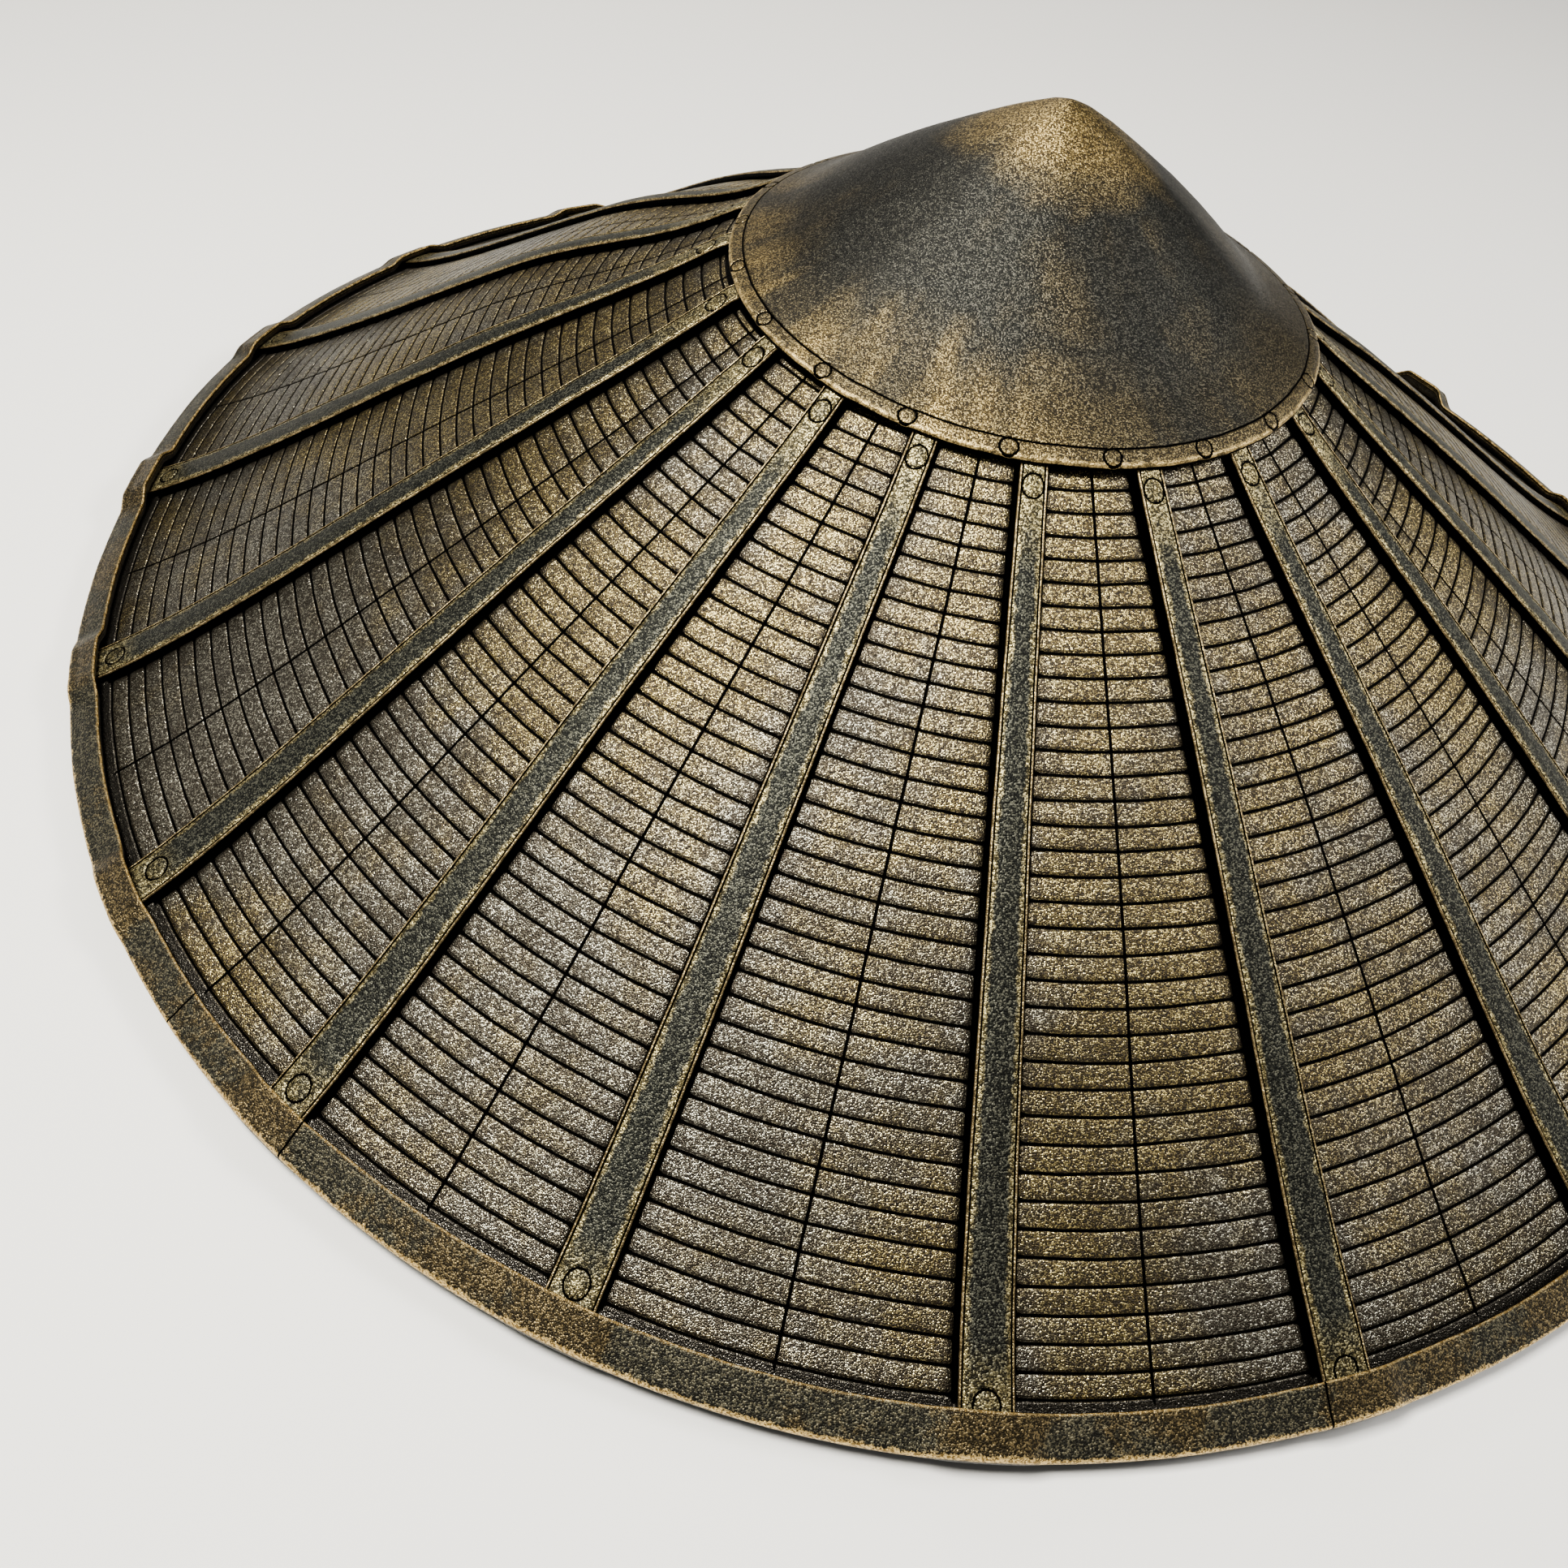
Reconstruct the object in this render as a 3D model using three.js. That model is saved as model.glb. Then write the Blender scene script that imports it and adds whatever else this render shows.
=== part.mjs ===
// A wide conical hat of stiff grained sheet, as it rests on its rim.
// Millimetres, +Z up. The origin is in the middle of the rim, in the plane that it rests on; -Y is the front.
import * as THREE from "three";

// ---- driving dimensions -------------------------------------------------------------------------
const RIM_RADIUS = 240; // outside of the rim band
const RIM_DATUM_Z = 3.6; // height of the shell's outer surface, carried on to RIM_RADIUS
const SHELL_THICKNESS = 2.5; // measured upright
const SHELL_EDGE_RADIUS = 236.6;
const GAP = 0.33; // clearance between pieces that lie on each other

const RIB_COUNT = 20;
const RIB_INNER_RADIUS = 64;
const RIB_OUTER_RADIUS = 235.8;
const RIB_HALF_WIDTH_INNER = 2.8; // at RIB_INNER_RADIUS
const RIB_HALF_WIDTH_OUTER = 5.35; // at RIB_OUTER_RADIUS
const RIB_THICKNESS = 1.85;
const RIB_CROWN = 0.15; // how much the middle of a rib stands over its edges
const RIB_OFFSET_INNER_RADIUS = 79; // where the table's inner_deg holds
const RIB_OFFSET_OUTER_RADIUS = 228; // where the table's outer_deg holds

const CROWN_RADIUS = 73.8; // the crown's own profile holds inside this
const CAP_EDGE_RADIUS = 73;
const CAP_SHIFT = { x: 1.6, y: -2.9 }; // the cap's edge is not quite centred on the apex
const CAP_RISE = 3.9; // its outer surface over the shell's
const APEX_LEAN = { x: 2, y: 0 }; // the apex leans over; the lean has died away at CROWN_LEAN_RADIUS
const CROWN_LEAN_RADIUS = 60;
const CAP_THICKNESS = 1.1;

const BAND_INNER_RADIUS = 231.3; // edge of the band's upper leg
const BAND_LOWER_LEG_RADIUS = 230.4; // edge of its lower leg, inside the hat
const BAND_RISE = 4.2; // its upper surface over the shell's, between ribs
const BAND_LEG_GAP = 0.45; // under its upper leg, between ribs
const BAND_PLATEAU_DEG = 1.5; // either side of a rib where the band is at its full lift
const BAND_FOOT_DEG = 3.1; // either side of a rib where the lift has died away

// Slope of the shell's profile, as a polynomial in u = 1 - r / RIM_RADIUS.
const PROFILE = [
  { power: 1, factor: 0.38229 },
  { power: 2, factor: 1.1062 },
  { power: 3, factor: -1.97128 },
  { power: 4, factor: 1.20168 },
];

// Outer surface of the crown cap inside its edge.
const CROWN = [
  { radius: 0, z: 150.0 },
  { radius: 2.9, z: 149.1 },
  { radius: 7.2, z: 147.4 },
  { radius: 14.4, z: 143.6 },
  { radius: 24, z: 137.8 },
  { radius: 36, z: 130.2 },
  { radius: 48, z: 121.8 },
  { radius: 60, z: 113.6 },
];

// The ribs stand every 18 degrees, from +X anticlockwise. They were laid by hand: each is off its
// place by inner_deg near the crown and by outer_deg near the rim, and the band stands up by lift_mm
// over its end.
const RIBS = [
  { name: "rib_01", inner_deg: -0.15, outer_deg: -0.13, lift_mm: 2.4 },
  { name: "rib_02", inner_deg: -0.69, outer_deg: -0.94, lift_mm: 2.4 },
  { name: "rib_03", inner_deg: 0, outer_deg: 0, lift_mm: 4.4 },
  { name: "rib_04", inner_deg: 0, outer_deg: 0, lift_mm: 3.2 },
  { name: "rib_05", inner_deg: 0, outer_deg: 0, lift_mm: 2.6 },
  { name: "rib_06", inner_deg: 0, outer_deg: 0, lift_mm: 2.8 },
  { name: "rib_07", inner_deg: 0, outer_deg: 0, lift_mm: 3.2 },
  { name: "rib_08", inner_deg: 0, outer_deg: 0, lift_mm: 4.4 },
  { name: "rib_09", inner_deg: 0, outer_deg: 0, lift_mm: 4.8 },
  { name: "rib_10", inner_deg: 0, outer_deg: 0, lift_mm: 3.4 },
  { name: "rib_11", inner_deg: -1.04, outer_deg: -0.09, lift_mm: 3.6 },
  { name: "rib_12", inner_deg: 0.85, outer_deg: 0.29, lift_mm: 2.0 },
  { name: "rib_13", inner_deg: -0.05, outer_deg: 0.38, lift_mm: 2.2 },
  { name: "rib_14", inner_deg: -0.93, outer_deg: -0.88, lift_mm: 1.6 },
  { name: "rib_15", inner_deg: -1.26, outer_deg: -1.46, lift_mm: 1.4 },
  { name: "rib_16", inner_deg: -1.08, outer_deg: 0.05, lift_mm: 2.4 },
  { name: "rib_17", inner_deg: 0.35, outer_deg: -0.19, lift_mm: 2.4 },
  { name: "rib_18", inner_deg: 0.86, outer_deg: -0.03, lift_mm: 2.0 },
  { name: "rib_19", inner_deg: 1.85, outer_deg: 0.14, lift_mm: 2.0 },
  { name: "rib_20", inner_deg: 1.4, outer_deg: -1.3, lift_mm: 2.2 },
];

// Radii at which the shell and the ribs change slope, so that the one lies along the other.
const OUTER_RADII = [73.8, 96, 125, 155, 185, 210, 225];
const CROWN_RADII = [3, 10, 24, 42, 60];
const INNER_RADII = [225, 185, 125, 73.8, 30];
const CAP_STEPS = [0.04, 0.12, 0.25, 0.45, 0.7, 0.92, 0.97];
const SHELL_SEGMENTS = 72;
const CAP_SEGMENTS = 48;

// ---- surfaces -----------------------------------------------------------------------------------
const rad = THREE.MathUtils.degToRad;

function shellTop(r) {
  if (r < CROWN_RADIUS) return crownTop(r) - CAP_RISE;
  const u = 1 - r / RIM_RADIUS;
  let z = RIM_DATUM_Z;
  for (const { power, factor } of PROFILE) z += RIM_RADIUS * factor * u ** power;
  return z;
}

function crownTop(r) {
  if (r >= CROWN_RADIUS) return shellTop(r) + CAP_RISE;
  const rows = [...CROWN, { radius: CROWN_RADIUS, z: shellTop(CROWN_RADIUS) + CAP_RISE }];
  const i = rows.findIndex((row) => row.radius > r);
  const a = rows[i - 1];
  const b = rows[i];
  return a.z + ((b.z - a.z) * (r - a.radius)) / (b.radius - a.radius);
}

const shellUnder = (r) => shellTop(r) - SHELL_THICKNESS;

const polar = (r, deg, z) =>
  new THREE.Vector3(r * Math.cos(rad(deg)), r * Math.sin(rad(deg)), z);

function leaned(r, deg, z) {
  const share = Math.max(0, 1 - r / CROWN_LEAN_RADIUS);
  const p = polar(r, deg, z);
  p.x += APEX_LEAN.x * share;
  p.y += APEX_LEAN.y * share;
  return p;
}

function ribDeg(index, r) {
  const { inner_deg, outer_deg } = RIBS[index];
  const t =
    (r - RIB_OFFSET_INNER_RADIUS) /
    (RIB_OFFSET_OUTER_RADIUS - RIB_OFFSET_INNER_RADIUS);
  return (360 / RIB_COUNT) * index + inner_deg + (outer_deg - inner_deg) * t;
}

// ---- mesh helpers -------------------------------------------------------------------------------
// Each row is a list of points. Neighbouring rows are joined by a strip; a strip faces the side from
// which the first row is above and the points of a row run to the right.
function meshFromRows(rows, { rowsClose, pointsClose, firstPole, lastPole, endCaps }) {
  const width = rows[0].length;
  const points = rows.flat();
  const faces = [];
  const at = (row, k) => (row % rows.length) * width + (k % width);
  const rowSteps = rowsClose ? rows.length : rows.length - 1;
  const pointSteps = pointsClose ? width : width - 1;
  for (let i = 0; i < rowSteps; i++)
    for (let k = 0; k < pointSteps; k++) {
      faces.push(at(i, k), at(i + 1, k), at(i, k + 1));
      faces.push(at(i, k + 1), at(i + 1, k), at(i + 1, k + 1));
    }
  const last = rows.length - 1;
  if (firstPole) {
    points.push(firstPole);
    for (let k = 0; k < width; k++) faces.push(points.length - 1, at(0, k), at(0, k + 1));
  }
  if (lastPole) {
    points.push(lastPole);
    for (let k = 0; k < width; k++) faces.push(points.length - 1, at(last, k + 1), at(last, k));
  }
  if (endCaps)
    for (let k = 1; k < width - 1; k++) {
      faces.push(at(0, 0), at(0, k), at(0, k + 1));
      faces.push(at(last, 0), at(last, k + 1), at(last, k));
    }
  const geometry = new THREE.BufferGeometry().setFromPoints(points);
  geometry.setIndex(faces);
  geometry.computeVertexNormals();
  return geometry;
}

const ring = (segments, pointAt) =>
  Array.from({ length: segments }, (_, k) => pointAt((360 / segments) * k));

// ---- hat shell: a flared cone, closed over the top and open below ---------------------------------
function shellGeometry() {
  const rows = [];
  for (const r of [...CROWN_RADII, ...OUTER_RADII, SHELL_EDGE_RADIUS])
    rows.push(ring(SHELL_SEGMENTS, (deg) => leaned(r, deg, shellTop(r))));
  for (const r of [SHELL_EDGE_RADIUS, ...INNER_RADII])
    rows.push(ring(SHELL_SEGMENTS, (deg) => leaned(r, deg, shellUnder(r))));
  return meshFromRows(rows, {
    pointsClose: true,
    firstPole: leaned(0, 0, shellTop(0)),
    lastPole: leaned(0, 0, shellUnder(0)),
  });
}

// ---- rib: a strip that follows the shell from under the cap to under the band ---------------------
function ribGeometry(index) {
  const slope =
    (RIB_HALF_WIDTH_OUTER - RIB_HALF_WIDTH_INNER) /
    (RIB_OUTER_RADIUS - RIB_INNER_RADIUS);
  const rows = [RIB_INNER_RADIUS, ...OUTER_RADII, RIB_OUTER_RADIUS].map((r) => {
    const half = RIB_HALF_WIDTH_INNER + slope * (r - RIB_INNER_RADIUS);
    const deg = ribDeg(index, r);
    const across = polar(1, deg + 90, 0);
    const point = (side, above) => {
      const z = shellTop(Math.hypot(r, side * half)) + above;
      return polar(r, deg, z).addScaledVector(across, side * half);
    };
    return [
      point(-1, GAP + RIB_THICKNESS),
      point(0, GAP + RIB_THICKNESS + RIB_CROWN),
      point(1, GAP + RIB_THICKNESS),
      point(1, GAP),
      point(0, GAP),
      point(-1, GAP),
    ];
  });
  return meshFromRows(rows, { pointsClose: true, endCaps: true });
}

// ---- crown cap: a small pointed cone over the ribs' inner ends ------------------------------------
function capEdge(deg) {
  const p = polar(CAP_EDGE_RADIUS, deg, 0);
  const x = p.x + CAP_SHIFT.x;
  const y = p.y + CAP_SHIFT.y;
  return { radius: Math.hypot(x, y), deg: THREE.MathUtils.radToDeg(Math.atan2(y, x)) };
}

function capGeometry() {
  const row = (step, drop) =>
    ring(CAP_SEGMENTS, (deg) => {
      const edge = capEdge(deg);
      const r = edge.radius * step;
      return leaned(r, edge.deg, crownTop(r) - drop);
    });
  const rows = [
    ...CAP_STEPS.map((step) => row(step, 0)),
    row(1, 0),
    row(1, CAP_THICKNESS),
    ...CAP_STEPS.toReversed().map((step) => row(step, CAP_THICKNESS)),
  ];
  return meshFromRows(rows, {
    pointsClose: true,
    firstPole: leaned(0, 0, crownTop(0)),
    lastPole: leaned(0, 0, crownTop(0) - CAP_THICKNESS),
  });
}

// ---- rim band: folded round the shell's edge, and standing up over each rib's end -----------------
function bandStations() {
  const stations = [];
  const offsets = [-BAND_FOOT_DEG, -2.2, -BAND_PLATEAU_DEG, BAND_PLATEAU_DEG, 2.2, BAND_FOOT_DEG];
  const centre = (i) =>
    ribDeg(i % RIB_COUNT, BAND_INNER_RADIUS) + (i >= RIB_COUNT ? 360 : 0);
  for (let i = 0; i < RIB_COUNT; i++) {
    for (const offset of offsets) {
      const t = THREE.MathUtils.smoothstep(Math.abs(offset), BAND_PLATEAU_DEG, BAND_FOOT_DEG);
      stations.push({ deg: centre(i) + offset, over: 1 - t, lift: RIBS[i].lift_mm * (1 - t) });
    }
    const from = centre(i) + BAND_FOOT_DEG;
    const to = centre(i + 1) - BAND_FOOT_DEG;
    for (const part of [1 / 3, 2 / 3])
      stations.push({ deg: from + (to - from) * part, over: 0, lift: 0 });
  }
  return stations;
}

function bandGeometry() {
  const ribTop = GAP + RIB_THICKNESS + RIB_CROWN;
  const sections = bandStations().map(({ deg, over, lift }) => {
    const under = BAND_LEG_GAP + ribTop * over;
    const top = BAND_RISE + lift;
    const inner = BAND_INNER_RADIUS;
    const lower = BAND_LOWER_LEG_RADIUS;
    const lowerTop = shellUnder(lower) - GAP;
    return [
      { r: inner, z: shellTop(inner) + top - 0.5 },
      { r: inner + 0.8, z: shellTop(inner + 0.8) + top },
      { r: 236.2, z: RIM_DATUM_Z + 6.4 + 0.9 * lift },
      { r: 239.0 + 0.35 * lift, z: RIM_DATUM_Z + 4.3 + 0.6 * lift },
      { r: RIM_RADIUS - 0.3 + 0.9 * over, z: RIM_DATUM_Z + 1.2 },
      { r: 238.7, z: 0 },
      { r: 235.2, z: 0 },
      { r: lower, z: lowerTop - 2 },
      { r: lower, z: lowerTop },
      { r: 237.2, z: shellUnder(SHELL_EDGE_RADIUS) - GAP - 0.25 },
      { r: 237.2, z: shellTop(236) + under },
      { r: inner, z: shellTop(inner) + under },
    ].map(({ r, z }) => polar(r, deg, z));
  });
  const rows = sections[0].map((_, k) => sections.map((section) => section[k]));
  return meshFromRows(rows, { rowsClose: true, pointsClose: true });
}

// ---- finish -------------------------------------------------------------------------------------
const finish = (color, roughness, metalness) => () =>
  new THREE.MeshStandardMaterial({ color, roughness, metalness });
const bronzeSheet = finish(0x4e4538, 0.5, 0.45);
const charcoalSheet = finish(0x35352d, 0.5, 0.4);
const crownSheet = finish(0x4d4534, 0.45, 0.5);

function piece(name, geometry, material) {
  const mesh = new THREE.Mesh(geometry, material());
  mesh.name = name;
  return mesh;
}

const hat = new THREE.Group();
hat.name = "conical_hat";
hat.add(piece("hat_shell", shellGeometry(), bronzeSheet));
RIBS.forEach(({ name }, index) => hat.add(piece(name, ribGeometry(index), charcoalSheet)));
hat.add(piece("crown_cap", capGeometry(), crownSheet));
hat.add(piece("rim_band", bandGeometry(), charcoalSheet));

export default hat;
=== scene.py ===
import math

import bpy
import numpy as np
from mathutils import Matrix


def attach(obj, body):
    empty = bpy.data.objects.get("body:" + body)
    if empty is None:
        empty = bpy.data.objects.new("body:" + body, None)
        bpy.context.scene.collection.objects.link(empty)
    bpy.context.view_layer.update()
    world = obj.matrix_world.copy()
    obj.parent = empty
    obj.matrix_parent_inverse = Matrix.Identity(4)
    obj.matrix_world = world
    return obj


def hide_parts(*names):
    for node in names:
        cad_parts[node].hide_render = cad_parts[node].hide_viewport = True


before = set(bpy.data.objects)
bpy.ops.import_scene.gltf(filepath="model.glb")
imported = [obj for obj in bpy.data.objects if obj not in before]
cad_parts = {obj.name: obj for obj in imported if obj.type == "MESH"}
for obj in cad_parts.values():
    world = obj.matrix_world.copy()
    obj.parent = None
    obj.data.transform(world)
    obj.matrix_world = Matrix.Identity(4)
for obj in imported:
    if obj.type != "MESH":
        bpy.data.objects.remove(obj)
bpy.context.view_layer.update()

# The hat's surfaces are worked out in millimetres and turned into metres when a mesh is made.
RIM_RADIUS = 240.0
RIM_DATUM_Z = 3.6
SHELL_EDGE_RADIUS = 236.6
SHELL_THICKNESS = 2.5
CROWN_RADIUS = 73.8
CAP_EDGE_RADIUS = 73.0
CAP_RISE = 3.9
CAP_THICKNESS = 1.1
CAP_SHIFT = (1.6, -2.9)
APEX_LEAN = (2.0, 0.0)
CROWN_LEAN_RADIUS = 60.0
BAND_INNER_RADIUS = 231.3
RIB_INNER_RADIUS = 64.0
RIB_OUTER_RADIUS = 235.8
RIB_COUNT = 20
PROFILE = ((1, 0.38229), (2, 1.1062), (3, -1.97128), (4, 1.20168))
CROWN = ((0, 150.0), (2.9, 149.1), (7.2, 147.4), (14.4, 143.6), (24, 137.8), (36, 130.2), (48, 121.8), (60, 113.6))

# (inner_deg, outer_deg, lift_mm) for each rib, as in the frame
RIBS = (
    (-0.15, -0.13, 2.4), (-0.69, -0.94, 2.4), (0, 0, 4.4), (0, 0, 3.2), (0, 0, 2.6),
    (0, 0, 2.8), (0, 0, 3.2), (0, 0, 4.4), (0, 0, 4.8), (0, 0, 3.4),
    (-1.04, -0.09, 3.6), (0.85, 0.29, 2.0), (-0.05, 0.38, 2.2), (-0.93, -0.88, 1.6), (-1.26, -1.46, 1.4),
    (-1.08, 0.05, 2.4), (0.35, -0.19, 2.4), (0.86, -0.03, 2.0), (1.85, 0.14, 2.0), (1.4, -1.3, 2.2),
)
# Dark recess in the shell beside each rib, in mm: (clockwise side, anticlockwise side)
RECESS = (
    (0.5, 0.5), (0.5, 0.5), (0.5, 0.5), (0.5, 0.5), (0.5, 0.5),
    (0.5, 0.5), (0.5, 0.5), (0.5, 0.5), (0.5, 0.5), (0.5, 0.6),
    (0.3, 0.8), (0.25, 0.8), (0.25, 0.8), (0.25, 0.6), (0.25, 0.4),
    (0.55, 0.3), (1.0, 0.25), (0.9, 0.25), (0.9, 0.25), (0.8, 0.3),
)
# How far each panel's scored centre line is off the panel's middle: (deg at r = 156, deg per RIM_RADIUS)
CENTRE_LINE = {
    11: (1.07, -1.93), 12: (1.42, -2.77), 13: (0.25, -1.72), 14: (-0.74, 0.04), 15: (-0.75, 0.28),
    16: (-0.58, -0.98), 17: (-0.23, -1.86), 18: (-0.24, -0.85), 19: (-1.09, 1.08),
}
SLAT_PITCH = 4.318
FIRST_LINE = 73.42
LINES = 37
RIB_CIRCLE_INNER = {11: 77.2, 12: 76.8, 13: 77.3, 14: 78.1, 15: 78.8, 16: 79.3, 17: 79.7, 18: 80.6, 19: 78.7}
RIB_CIRCLE_OUTER = {11: 228.6, 12: 228.2, 13: 227.3, 14: 228.9, 15: 229.3, 16: 231.2, 17: 231.2}
CIRCLE_RADIUS = 2.3
CAP_CIRCLE = 2.0
CAP_SCORE = 3.3  # the scored line round the cap, in from its edge
# A hand-made hat doesn't lie true. By azimuth in degrees, in mm: how far the far brim stands up, how far the rim
# is drawn in, and how far the crown's sides are pressed down.
BRIM_UP = ((98, 0), (106, 0.2), (112, 0.9), (120, 2.0), (128, 3.2), (138, 4.3), (148, 5.2), (158, 5.9), (166, 5.7), (172, 4.3), (178, 1.9), (184, 0.5), (190, 0))
RIM_IN = ((266, 0), (272, 0.5), (278, 1.1), (284, 1.4), (292, 1.5), (300, 1.2), (310, 0.6), (320, 0))
CROWN_DOWN = ((0, 1.0), (20, 2.2), (40, 2.4), (60, 1.6), (80, 0.8), (100, 0.8), (120, 1.8), (140, 1.8), (160, 0.8), (178, 0), (340, 0))
BUMP_EASE = {7: 1.6, 8: 2.5, 9: 3.1, 10: 1.4, 11: 0.9}
SEAMS = (224.9, 234.8, 286.1)  # where lengths of the rim band meet, in degrees


# ---- surfaces -------------------------------------------------------------------------------------
def crown_top(r):
    radii = [a for a, _ in CROWN] + [CROWN_RADIUS]
    heights = [b for _, b in CROWN] + [float(outer_top(CROWN_RADIUS)) + CAP_RISE]
    return np.where(r < CROWN_RADIUS, np.interp(r, radii, heights), outer_top(r) + CAP_RISE)


def outer_top(r):
    u = 1 - np.asarray(r, float) / RIM_RADIUS
    return RIM_DATUM_Z + RIM_RADIUS * sum(f * u**p for p, f in PROFILE)


def shell_top(r):
    r = np.asarray(r, float)
    return np.where(r < CROWN_RADIUS, crown_top(r) - CAP_RISE, outer_top(r))


def half_width(r):
    return 2.8 + (5.35 - 2.8) * (np.asarray(r, float) - RIB_INNER_RADIUS) / (RIB_OUTER_RADIUS - RIB_INNER_RADIUS)


def rib_deg(index, r):
    inner, outer, _ = RIBS[index % RIB_COUNT]
    turn = 360.0 if index >= RIB_COUNT else 0.0
    r = np.asarray(r, float)
    return turn + 18.0 * (index % RIB_COUNT) + inner + (outer - inner) * (r - 79) / (228 - 79)


def line_radius(j):
    """Where scored line j is; the last ones stand a little further apart."""
    return FIRST_LINE + SLAT_PITCH * j + 0.5 * smooth(24, 36, np.asarray(j, float))


def smooth(a, b, x):
    t = np.clip((x - a) / (b - a), 0, 1)
    return t * t * (3 - 2 * t)


def wave(seed, x, period, terms=5):
    """A smooth wandering line about zero, between about -1 and 1, the same each run."""
    rng = np.random.RandomState(seed)
    x = np.asarray(x, float)
    out = np.zeros_like(x)
    for k in range(1, terms + 1):
        out += rng.uniform(0.4, 1) / k * np.sin(2 * np.pi * x * k / period + rng.uniform(0, 2 * np.pi))
    return out / 1.6


# ---- meshes ---------------------------------------------------------------------------------------
def polar(r, deg, z):
    a = np.radians(deg)
    return np.stack([r * np.cos(a), r * np.sin(a), z + 0 * a], -1)


def leaned(r, deg, z):
    """A point of the crown, whose apex leans over a little."""
    share = np.clip(1 - np.asarray(r, float) / CROWN_LEAN_RADIUS, 0, 1)
    return polar(r, deg, z) + np.stack([APEX_LEAN[0] * share, APEX_LEAN[1] * share, 0 * share], -1)


def round_table(pairs, spread=3.5):
    """A smooth closed curve through (degree, value) pairs, as a table of one value a degree."""
    d, v = np.array(pairs, float).T
    raw = np.interp(np.arange(360), d, v, period=360)
    k = np.exp(-0.5 * (np.arange(-14, 15) / spread) ** 2)
    return np.convolve(np.concatenate([raw[-14:], raw, raw[:14]]), k / k.sum(), "valid")


UP_TABLE, IN_TABLE, DOWN_TABLE = round_table(BRIM_UP), round_table(RIM_IN), round_table(CROWN_DOWN, 6)


def settled(points):
    """The same points on the hat as it lies: every piece goes through this one smooth change together."""
    p = np.array(points, float)
    r = np.hypot(p[..., 0], p[..., 1])
    a = np.degrees(np.arctan2(p[..., 1], p[..., 0])) % 360
    up, drawn, down = (np.interp(a, np.arange(360), t, period=360) for t in (UP_TABLE, IN_TABLE, DOWN_TABLE))
    p[..., 2] += up * smooth(80, 140, r) - down * smooth(44, 68, r) * (1 - smooth(80, 120, r))
    shrink = 1 - drawn * smooth(222, 238, r) / np.maximum(r, 1)
    p[..., 0] *= shrink
    p[..., 1] *= shrink
    return p


def make_piece(name, grids, poles, replaces):
    """grids: list of (points rows x columns x 3, attributes, rows close, columns close); a grid's faces look to the
    side from which its rows run down the page and its columns to the right. poles: (grid, row, point, flip)."""
    verts, faces, attrs = [], [], {}
    names = sorted({k for g in grids for k in g[1]})
    base = 0
    bases = []
    for points, fields, rows_close, cols_close in grids:
        n, m = points.shape[:2]
        index = base + np.arange(n * m).reshape(n, m)
        if rows_close:
            index = np.vstack([index, index[:1]])
        if cols_close:
            index = np.hstack([index, index[:, :1]])
        faces.append(np.stack([index[:-1, :-1], index[1:, :-1], index[1:, 1:], index[:-1, 1:]], -1).reshape(-1, 4))
        verts.append(points.reshape(-1, 3))
        for k in names:
            v = fields.get(k)
            v = np.zeros((n, m, 3)) if v is None else np.broadcast_to(v, (n, m, 3))
            attrs.setdefault(k, []).append(v.reshape(-1, 3))
        bases.append((base, n, m))
        base += n * m
    tris = []
    for g, row, point, flip in poles:
        b, n, m = bases[g]
        ring = b + (row % n) * m + np.arange(m)
        nxt = np.roll(ring, -1)
        centre = np.full(m, base)
        t = np.stack([centre, nxt, ring] if flip else [centre, ring, nxt], -1)
        tris.append(t)
        verts.append(np.array([point], float))
        for k in names:
            attrs[k].append(attrs[k][g].reshape(n, m, 3)[row % n].mean(0, keepdims=True))
        base += 1
    verts = settled(np.concatenate(verts)) / 1000
    quads = np.concatenate(faces)
    tri = np.concatenate(tris) if tris else np.zeros((0, 3), int)
    mesh = bpy.data.meshes.new(name)
    mesh.vertices.add(len(verts))
    mesh.vertices.foreach_set("co", verts.astype(np.float32).ravel())
    loops = np.concatenate([quads.ravel(), tri.ravel()])
    sizes = np.concatenate([np.full(len(quads), 4), np.full(len(tri), 3)])
    starts = np.concatenate([[0], np.cumsum(sizes)[:-1]])
    mesh.loops.add(len(loops))
    mesh.loops.foreach_set("vertex_index", loops.astype(np.int32))
    mesh.polygons.add(len(sizes))
    mesh.polygons.foreach_set("loop_start", starts.astype(np.int32))
    mesh.polygons.foreach_set("loop_total", sizes.astype(np.int32))
    for k in names:
        layer = mesh.attributes.new(k, "FLOAT_VECTOR", "POINT")
        layer.data.foreach_set("vector", np.concatenate(attrs[k]).astype(np.float32).ravel())
    mesh.update(calc_edges=True)
    mesh.validate()
    mesh.shade_smooth()
    # wide faces outweigh narrow ones, so that a flat slat looks flat up to its bevel
    weight = np.zeros_like(verts)
    for f in (quads, tri):
        if len(f):
            c = verts[f]
            n = np.cross(c[:, 2] - c[:, 0], c[:, -1] - c[:, 1]) if f.shape[1] == 4 else np.cross(c[:, 1] - c[:, 0], c[:, 2] - c[:, 0])
            for k in range(f.shape[1]):
                np.add.at(weight, f[:, k], n)
    weight /= np.maximum(np.linalg.norm(weight, axis=1, keepdims=True), 1e-12)
    mesh.normals_split_custom_set_from_vertices(weight.tolist())
    obj = bpy.data.objects.new(name, mesh)
    bpy.context.scene.collection.objects.link(obj)
    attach(obj, "root")
    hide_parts(*replaces)
    return obj


def vec(a, b=0.0, c=0.0):
    shape = np.broadcast(a, b, c).shape
    return np.stack([np.broadcast_to(x, shape) for x in (a, b, c)], -1).astype(float)


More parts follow.
